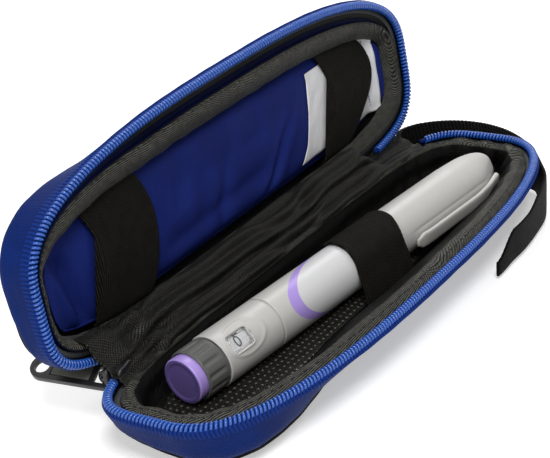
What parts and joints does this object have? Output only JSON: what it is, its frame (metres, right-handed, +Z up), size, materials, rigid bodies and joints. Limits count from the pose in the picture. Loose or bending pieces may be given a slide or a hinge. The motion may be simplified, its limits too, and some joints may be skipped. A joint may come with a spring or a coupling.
{
  "type": "insulin cooling case",
  "caption": "Zip-round travel case, open, with a gel cooling pad in its lid and an injection pen under an elastic band in its padded tray.",
  "frame": {"origin": "on the resting face, midway along the case, on the centre line of the case's outline", "axes": "+X from the slider end to the strap end, +Y towards the hinge, +Z up"},
  "size_m": [0.2313, 0.0992, 0.085],
  "materials": {
    "shell_cloth": "black woven nylon",
    "foam": "closed-cell insulating foam",
    "lining": "black lining cloth with a slight sheen",
    "mesh_cloth": "black open mesh",
    "zip_coil": "blue nylon coil",
    "zip_tape": "blue woven tape",
    "webbing": "black ribbed ribbon",
    "elastic": "black knitted elastic",
    "pad_cloth": "blue satin-woven cloth",
    "white_label": "plain white label",
    "gunmetal": "black lacquered zinc",
    "pull_grey": "dark grey panel",
    "lavender_plastic": "satin lavender plastic",
    "grip_plastic": "mid grey plastic",
    "pen_plastic": "warm light grey plastic",
    "white_plastic": "white plastic",
    "clear_lens": "clear plastic",
    "cartridge_glass": "clear glass",
    "stopper_rubber": "grey rubber",
    "spring_steel": "bright steel"
  },
  "bodies": {
    "tray": {"tray_shell": "shell_cloth", "tray_foam": "foam", "tray_lining": "lining", "tray_mesh_floor": "mesh_cloth", "tray_zip_teeth": "zip_coil", "tray_zip_tape": "zip_tape", "hinge_spine": "shell_cloth", "hinge_lining": "lining", "webbing_strap": "webbing", "pen_elastic": "elastic", "zip_slider": "gunmetal"},
    "lid": {"lid_shell": "shell_cloth", "lid_foam": "foam", "lid_lining": "lining", "lid_zip_teeth": "zip_coil", "lid_zip_tape": "zip_tape", "cooling_pad": "pad_cloth", "pad_label": "white_label", "lid_elastic_near": "elastic", "lid_elastic_far": "elastic"},
    "zip_pull": {"pull_tab": "gunmetal", "pull_pin": "gunmetal", "pull_insert": "pull_grey"},
    "pen": {"pen_barrel": "pen_plastic", "dose_window": "clear_lens", "pen_label": "white_label", "screw_nut": "pen_plastic", "insulin_cartridge": "cartridge_glass", "cartridge_seal": "spring_steel", "cartridge_holder": "clear_lens"},
    "cap": {"pen_cap": "pen_plastic"},
    "dose_drive": {"drive_sleeve": "pen_plastic"},
    "dose_dial": {"dose_grip": "grip_plastic", "number_sleeve": "white_plastic"},
    "button": {"injection_button": "lavender_plastic", "button_spring": "spring_steel"},
    "plunger": {"lead_screw": "spring_steel", "cartridge_stopper": "stopper_rubber"}
  },
  "joints": [
    {"name": "lid_hinge", "type": "hinge", "parent": "tray", "child": "lid", "pos_m": [0, 0.0326, 0.0185], "axis": [-1, 0, 0], "range_deg": [-93.4, 0], "deforming": ["hinge_spine", "hinge_lining"]},
    {"name": "pull_hinge", "type": "hinge", "parent": "tray", "child": "zip_pull", "pos_m": [-0.08908, 0.03288, 0.01725], "axis": [0.9131, 0.161, 0.3746], "range_deg": [-38, 2]},
    {"name": "pen_slide", "type": "slide", "parent": "tray", "child": "pen", "axis": [0.9931, -0.1158, 0.0192], "range_m": [-0.003, 0.003]},
    {"name": "cap_pull", "type": "slide", "parent": "pen", "child": "cap", "axis": [0.9931, -0.1158, 0.0192], "range_m": [0, 0.004]},
    {"name": "dose_extend", "type": "slide", "parent": "pen", "child": "dose_drive", "axis": [-0.9931, 0.1158, -0.0192], "range_m": [0, 0.007]},
    {"name": "dose_turn", "type": "hinge", "parent": "dose_drive", "child": "dose_dial", "pos_m": [-0.0784, 0.0132, 0.0138], "axis": [-0.9931, 0.1158, -0.0192], "range_deg": [0, 300]},
    {"name": "button_press", "type": "slide", "parent": "dose_dial", "child": "button", "axis": [0.9931, -0.1158, 0.0192], "range_m": [0, 0.0012], "stiffness_N_per_m": 1500, "deforming": ["button_spring"]},
    {"name": "plunger_advance", "type": "slide", "parent": "pen", "child": "plunger", "axis": [0.9931, -0.1158, 0.0192], "range_m": [0, 0.03]}
  ],
  "couplings": [
    {"joint": "dose_turn", "follows": "dose_extend", "rad_per_m": 748}
  ]
}
